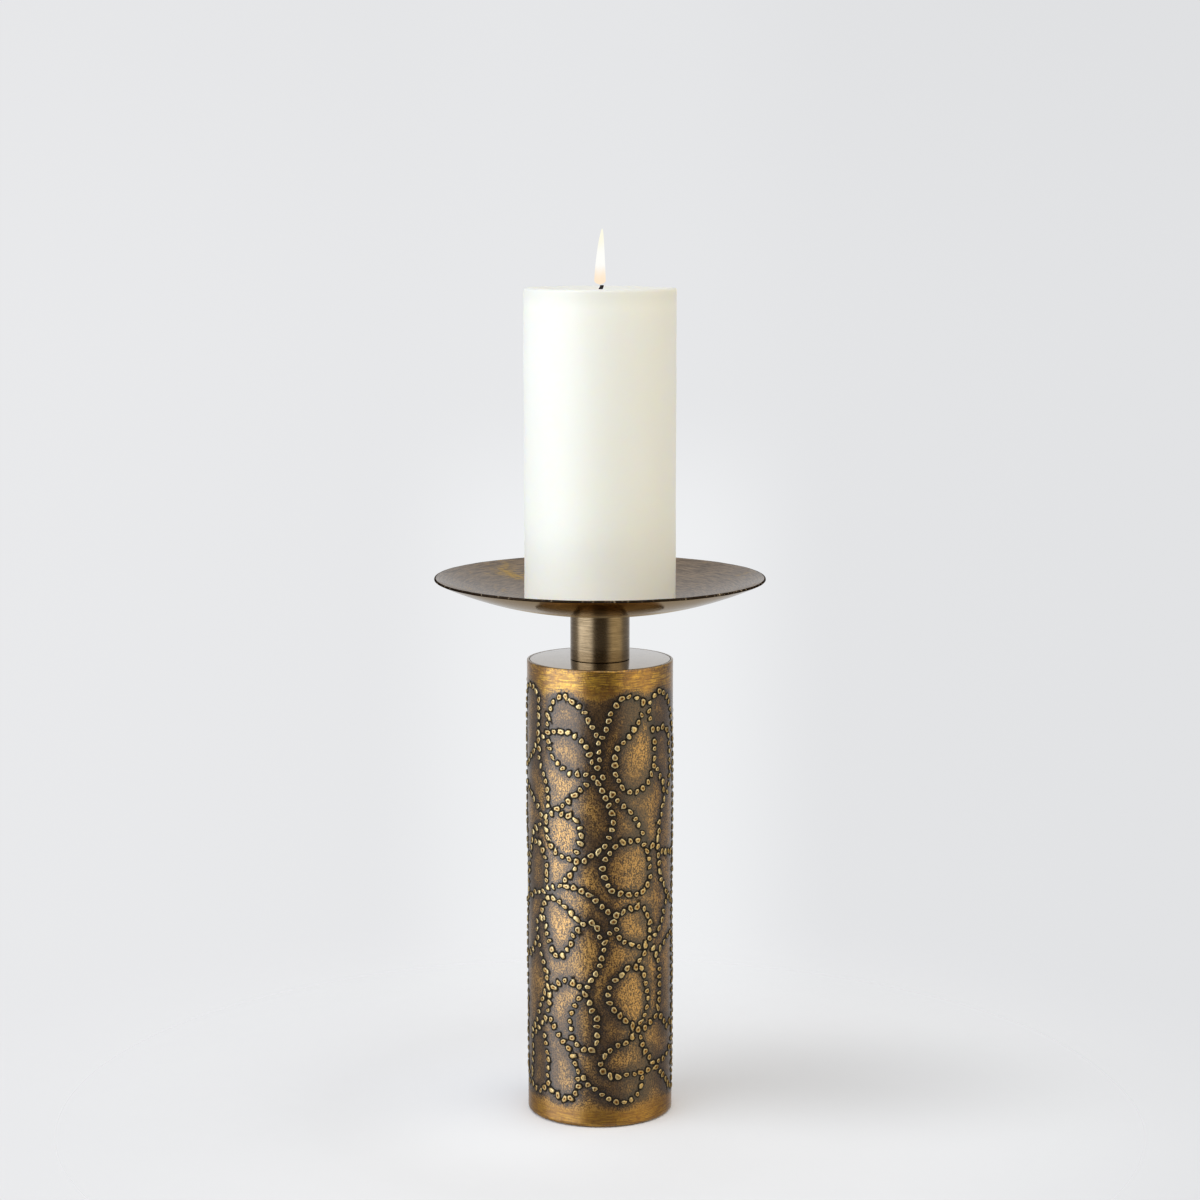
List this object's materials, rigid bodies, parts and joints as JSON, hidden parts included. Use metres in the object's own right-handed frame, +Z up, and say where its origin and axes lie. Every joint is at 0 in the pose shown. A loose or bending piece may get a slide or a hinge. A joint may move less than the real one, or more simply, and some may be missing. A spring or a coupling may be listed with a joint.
{
  "type": "pillar candle holder",
  "caption": "Tall pillar candle holder: punched sheet-brass base tube with a weighted foot, short neck that unscrews, wide shallow dish with a spike, and a pillar candle.",
  "frame": {"origin": "middle of the felt pad's underside, the face that the holder rests on", "axes": "+Z up along the axis of base, neck, dish and candle; -Y is the side seen in the picture; +X to its right"},
  "size_m": [0.167, 0.167, 0.4502],
  "materials": {
    "punched_brass": "satin",
    "plate_bronze": "polished",
    "neck_bronze": "satin",
    "dish_bronze": "satin",
    "plain_steel": "satin",
    "zinc_steel": "satin",
    "cast_iron": "matte",
    "felt": "matte",
    "fibre": "matte",
    "wax": "satin",
    "charred_wick": "matte",
    "flame": "gloss"
  },
  "bodies": {
    "base": {"felt_pad": "felt", "base_plate": "plain_steel", "lower_washer": "zinc_steel", "lower_nut": "zinc_steel", "ballast_disc": "cast_iron", "ballast_nut": "zinc_steel", "tie_rod": "zinc_steel", "sleeve": "punched_brass", "top_plate": "plate_bronze", "inner_nut": "zinc_steel", "outer_washer": "zinc_steel", "outer_nut": "zinc_steel"},
    "neck_seat": {"neck_washer": "fibre"},
    "dish_top": {"neck": "neck_bronze", "neck_bush": "plain_steel", "dish": "dish_bronze", "dish_washer": "zinc_steel", "pricket": "plain_steel"},
    "candle_body": {"candle": "wax", "wick": "charred_wick", "flame": "flame"}
  },
  "joints": [
    {"name": "neck_rise", "type": "slide", "parent": "base", "child": "neck_seat", "axis": [0, 0, 1], "range_m": [0, 0.00875]},
    {"name": "dish_unscrew", "type": "hinge", "parent": "neck_seat", "child": "dish_top", "pos_m": [0, 0, 0.2576], "axis": [0, 0, 1], "range_deg": [0, 2520]},
    {"name": "candle_lift", "type": "slide", "parent": "dish_top", "child": "candle_body", "axis": [0, 0, 1], "range_m": [0, 0.04]}
  ],
  "couplings": [
    {"joint": "neck_rise", "follows": "dish_unscrew", "m_per_rad": 0.00019894}
  ]
}
